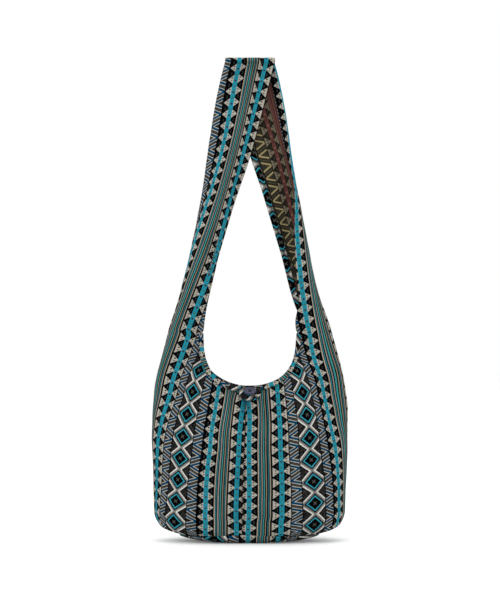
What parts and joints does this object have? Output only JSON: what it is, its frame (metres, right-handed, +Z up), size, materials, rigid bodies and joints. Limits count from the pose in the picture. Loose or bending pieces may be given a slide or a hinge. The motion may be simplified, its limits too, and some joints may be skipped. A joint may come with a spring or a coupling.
{
  "type": "crossbody bag",
  "caption": "Soft sling bag of woven cloth whose body runs on into a wide shoulder strap, with a U-shaped bound mouth closed by a button and a cloth loop.",
  "frame": {"origin": "middle of the base, on the surface that the bag stands on", "axes": "+Z up along the hanging strap, +X to the right as seen from the front, -Y out of the front with the button"},
  "size_m": [0.3, 0.1192, 0.736],
  "materials": {
    "cloth": "woven cotton with a geometric stripe pattern",
    "binding": "folded strip of the same woven cotton",
    "button": "slate blue, satin",
    "thread": "sewing thread"
  },
  "bodies": {
    "root": {"left_panel": "cloth", "right_panel": "cloth", "base_panel": "cloth", "front_binding": "binding", "back_binding": "binding", "button": "button", "button_thread": "thread", "button_loop": "binding"}
  },
  "joints": []
}
